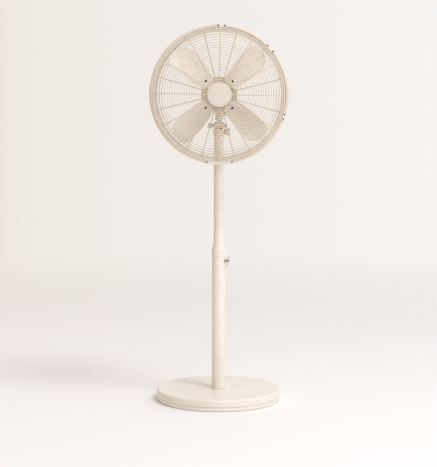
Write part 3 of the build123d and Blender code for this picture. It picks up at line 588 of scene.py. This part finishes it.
# %% Knobs
def fluted(radius, length, flutes, depth, neck_r, neck_length, steps=240):
    """A moulded knob about Z from 0 to length, in millimetres, with a plain neck below it."""
    levels = [
        (0, -neck_length, 0), (neck_r - 0.5, -neck_length, 0), (neck_r, -neck_length + 0.5, 0),
        (neck_r, -0.1, 0),
        (radius - 1.5, 0, 0.2), (radius - 0.5, 0.3, 0.6), (radius - 0.1, 0.9, 0.9), (radius, 1.8, 1),
        (radius, length - 2.4, 1), (radius - 0.15, length - 1.5, 0.95), (radius - 0.6, length - 0.7, 0.75),
        (radius - 1.4, length - 0.2, 0.4), (radius - 2.3, length, 0.1), (radius - 3.2, length - 0.15, 0),
        (radius * 0.5, length - 0.7, 0), (radius * 0.25, length - 0.9, 0), (0, length - 0.95, 0),
    ]
    draft = bmesh.new()
    rings = []
    for level_r, height, amount in levels:
        ring = []
        for step in range(steps):
            turn = 2 * math.pi * step / steps
            r = max(level_r - depth * amount * max(0, math.cos(flutes * turn)) ** 1.6, 0)
            ring.append(draft.verts.new((r * math.cos(turn) * MM, r * math.sin(turn) * MM, height * MM)))
        rings.append(ring)
    for here, there in zip(rings, rings[1:]):
        for step in range(steps):
            after = (step + 1) % steps
            draft.faces.new((here[step], here[after], there[after], there[step]))
    bmesh.ops.remove_doubles(draft, verts=draft.verts, dist=1e-7)
    return draft


low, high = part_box("head_screw")
grip_length = 15.5
grip_r = (high.z - low.z) / 2 / MM
grip_foot = Matrix.Translation((high.x - grip_length * MM, 0, (low.z + high.z) / 2))
grip_place = grip_foot @ turned_by(90, "Y")
piece("head_screw_grip", fluted(grip_r, grip_length, 8, 1.6, 6, 2.2), "head_screw", place=grip_place,
      instead_of=("head_screw",))
shank_length = (high.x - low.x) / MM - grip_length
shank = lathe(soften([(0, 0), (3, 0), (3, shank_length), (0, shank_length)], 0.3), 48)
piece("head_screw_shank", shank, "head_screw", slot="zinc_steel",
      place=Matrix.Translation((low.x, 0, grip_place.translation.z)) @ turned_by(90, "Y"))

low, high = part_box("tilt_knob")
tilt_r = (high.z - low.z) / 2 / MM
tilt_place = Matrix.Translation((high.x, 0, (low.z + high.z) / 2)) @ turned_by(-90, "Y")
piece("tilt_knob_grip", fluted(tilt_r, (high.x - low.x) / MM, 6, 1.3, 5, 0.6), "tilt_knob", place=tilt_place,
      instead_of=("tilt_knob",))

low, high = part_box("swing_knob")
cap_height = 14
swing_place = Matrix.Translation(((low.x + high.x) / 2, (low.y + high.y) / 2, high.z - cap_height * MM))
piece("swing_knob_cap", fluted(8.5, cap_height, 24, 0.45, 4.5, 4.7), "swing_knob", place=swing_place,
      instead_of=("swing_knob",))
stem = lathe(soften([(0, -14), (3, -14), (3, 0), (0, 0)], 0.3), 48)
piece("swing_knob_stem", stem, "swing_knob", slot="zinc_steel", place=swing_place @ at(0, 0, -4))

low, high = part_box("speed_knob")
knob_z = (low.z + high.z) / 2
knob_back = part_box("rear_cap")[1].y
rear = Matrix.Translation((0, knob_back, knob_z)) @ turned_by(-90, "X")
piece("speed_knob_grip", fluted(14, 12.6, 20, 0.7, 7, 0.7), "speed_knob", place=rear @ at(0, 0, 1.0),
      instead_of=("speed_knob",))
pointer = bmesh.new()
bmesh.ops.create_cube(pointer, size=1)
bmesh.ops.scale(pointer, vec=(2.0 * MM, 9 * MM, 2.4 * MM), verts=pointer.verts)
bmesh.ops.bevel(pointer, geom=pointer.edges[:], offset=0.6 * MM, segments=3, profile=0.5, affect="EDGES")
piece("speed_knob_pointer", pointer, "speed_knob", slot="dark_plastic", place=rear @ at(0, 8, 13.0))
print("knobs drawn; speed knob at", round(knob_z, 4), "m")

# %% [markdown]
# ## Speed dial
# A thin printed ring lies on the rear cap round the speed knob. It carries four generic numbers, 0 to 3,
# one at each of the knob's stops.

# %% Speed dial
DIGIT_CIRCLE_R = 17.9
STOP_DEGREES = 45

dial = lathe(soften([(15.2, 0), (20.4, 0), (20.4, 0.5), (15.2, 0.5)], 0.15), 128)
piece("speed_dial_ring", dial, "rear_cap", slot="nylon", place=rear @ at(0, 0, 0.02))
marks = bmesh.new()
for number in range(4):
    curve = bpy.data.curves.new("digit", "FONT")
    curve.body = str(number)
    curve.size = 3.6 * MM
    curve.extrude = 0.12 * MM
    curve.align_x = "CENTER"
    curve.align_y = "CENTER"
    letter = bpy.data.objects.new("digit", curve)
    mesh = letter.to_mesh()
    first = len(marks.verts)
    marks.from_mesh(mesh)
    marks.verts.ensure_lookup_table()
    turn = math.radians(90 - STOP_DEGREES * number)
    spot = at(DIGIT_CIRCLE_R * math.cos(turn), DIGIT_CIRCLE_R * math.sin(turn), 0.55)
    bmesh.ops.transform(marks, matrix=spot, verts=marks.verts[first:])
    bpy.data.objects.remove(letter)
    bpy.data.curves.remove(curve)
piece("speed_dial_marks", marks, "rear_cap", slot="dark_plastic", place=rear)
print("dial drawn at", [round(v, 4) for v in rear.translation])

# %% [markdown]
# ## Motor ribs, seam and plate
# The motor's front shell is a casting with cooling ribs round its side. The two shells meet at a thin
# raised seam. A blank metal plate is riveted to the side of the gearbox.

# %% Motor ribs, seam and plate
low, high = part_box("motor_front_housing")
shell_r = high.x / MM
seam_f = -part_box("motor_rear_housing")[0].y / MM
seam_outline = [
    (shell_r - 0.6, seam_f - 1.1), (shell_r + 0.7, seam_f - 0.8),
    (shell_r + 0.7, seam_f + 0.8), (shell_r - 0.6, seam_f + 1.1),
]
piece("motor_seam", lathe(soften(seam_outline, 0.4), 160), "motor_front_housing", place=HEAD)

rib = bmesh.new()
rib_outline = soften([(shell_r - 1, 7), (shell_r + 1.4, 8.5), (shell_r + 1.4, 35), (shell_r - 1, 40)], 1.0)
sides = [[rib.verts.new((r * MM, side * MM, f * MM)) for r, f in rib_outline] for side in (-0.8, 0.8)]
rib.faces.new(sides[0])
rib.faces.new(sides[1])
for index in range(len(rib_outline)):
    after = (index + 1) % len(rib_outline)
    rib.faces.new((sides[0][index], sides[0][after], sides[1][after], sides[1][index]))
bmesh.ops.recalc_face_normals(rib, faces=rib.faces)
outer = [edge for edge in rib.edges if edge.calc_face_angle(0) > math.radians(60)]
bmesh.ops.bevel(rib, geom=outer, offset=0.35 * MM, segments=2, profile=0.5, affect="EDGES")
# The ribs leave out the saddle under the motor.
rib_turns = [turn for turn in range(0, 360, 10) if not 240 <= turn <= 300]
piece("motor_ribs", placed(rib, [HEAD @ turned_by(turn) for turn in rib_turns]), "motor_front_housing")
print("motor ribs:", len(rib_turns))

low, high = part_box("gearbox_housing")
plate = bmesh.new()
bmesh.ops.create_cube(plate, size=1)
bmesh.ops.scale(plate, vec=(0.5 * MM, 40 * MM, 26 * MM), verts=plate.verts)
upright = [edge for edge in plate.edges if abs(edge.verts[0].co.x - edge.verts[1].co.x) > 0.1 * MM]
bmesh.ops.bevel(plate, geom=upright, offset=2 * MM, segments=4, profile=0.5, affect="EDGES")
plate_place = Matrix.Translation((high.x + 0.26 * MM, (low.y + high.y) / 2, (low.z + high.z) / 2))
piece("rating_plate_blank", plate, "gearbox_housing", slot="zinc_steel", place=plate_place)
rivet = lathe(soften([(0, 0), (1.5, 0), (1.5, 0.35), (0.9, 0.8), (0, 0.95)], 0.25), 32)
rivet_places = [plate_place @ at(0.25, y, z) @ turned_by(90, "Y")
                for y in (-17.5, 17.5) for z in (-10.5, 10.5)]
piece("rating_plate_rivets", placed(rivet, rivet_places), "gearbox_housing", slot="zinc_steel")
print("plate and", len(rivet_places), "rivets on the gearbox")

# %% [markdown]
# ## Floor, sky and light
# The fan stands on a pale paper sweep in very soft light. The surround is bright in front and on the
# right, and darker on the left, so that round tubes show a shaded side. One large soft box is high on the
# right and lets a faint shadow fall to the left; a wider, weaker one in front fills the cage. The floor
# is a wide disc that fades out before its edge, so that no horizon shows behind the fan.

# %% Floor
FLOOR_R = 6.0
FADE_START = 1.2
FADE_END = 4.5

floor_mesh = bpy.data.meshes.new("floor")
draft = bmesh.new()
bmesh.ops.create_circle(draft, cap_ends=True, segments=128, radius=FLOOR_R)
draft.to_mesh(floor_mesh)
draft.free()
floor = bpy.data.objects.new("floor", floor_mesh)
bpy.context.scene.collection.objects.link(floor)

paper, tree, shader, place = new_material("pale_paper_sweep")
fibre = add_node(tree, "ShaderNodeTexNoise", {"Scale": 1 / (4 * MM), "Detail": 4.0}, Vector=place)
white = ramp(tree, fibre.outputs["Fac"], [(0.3, "F2EEEA"), (0.7, "F5F1EE")])
tree.links.new(white, shader.inputs["Base Color"])
shader.inputs["Roughness"].default_value = 0.9
shader.inputs["Specular IOR Level"].default_value = 0.1
spread = add_node(tree, "ShaderNodeVectorMath", {"operation": "LENGTH"}, _0=place)
fade_range = {"From Min": FADE_START, "From Max": FADE_END, "To Min": 1.0, "To Max": 0.0,
              "interpolation_type": "SMOOTHSTEP"}
fade = add_node(tree, "ShaderNodeMapRange", fade_range, Value=spread.outputs["Value"])
tree.links.new(fade.outputs["Result"], shader.inputs["Alpha"])
floor.data.materials.append(paper)

# %% Sky and soft boxes
world = bpy.data.worlds.new("studio")
bpy.context.scene.world = world
world.use_nodes = True
sky = world.node_tree
direction = add_node(sky, "ShaderNodeTexCoord").outputs["Generated"]
across = add_node(sky, "ShaderNodeSeparateXYZ", None, Vector=direction).outputs["X"]
side = add_node(sky, "ShaderNodeMapRange", {"From Min": -1.0, "From Max": 1.0}, Value=across)
left_to_right = [(0.0, "AEA69E"), (0.28, "BFB7AF"), (0.43, "EFE9E3"), (0.57, "F6F2EF"), (1.0, "F8F6F4")]
tint = ramp(sky, side.outputs["Result"], left_to_right)
sky.links.new(tint, sky.nodes["Background"].inputs["Color"])
sky.nodes["Background"].inputs["Strength"].default_value = 1.0


def soft_box(name, place, aim, width, power, colour):
    data = bpy.data.lights.new(name, "AREA")
    data.shape = "DISK"
    data.size = width
    data.energy = power
    data.color = linear(colour)[:3]
    lamp = bpy.data.objects.new(name, data)
    lamp.location = place
    lamp.rotation_euler = (Vector(aim) - Vector(place)).to_track_quat("-Z", "Y").to_euler()
    bpy.context.scene.collection.objects.link(lamp)


soft_box("key_box", (2.3, -2.2, 4.9), (0, 0, 0.7), 1.8, 134, "E6EFFF")
soft_box("front_box", (0.5, -5.2, 1.9), (0, 0, 0.8), 2.4, 33, "EEF3FF")
bpy.context.scene.view_settings.view_transform = "Standard"
print("floor, sky and two soft boxes set")
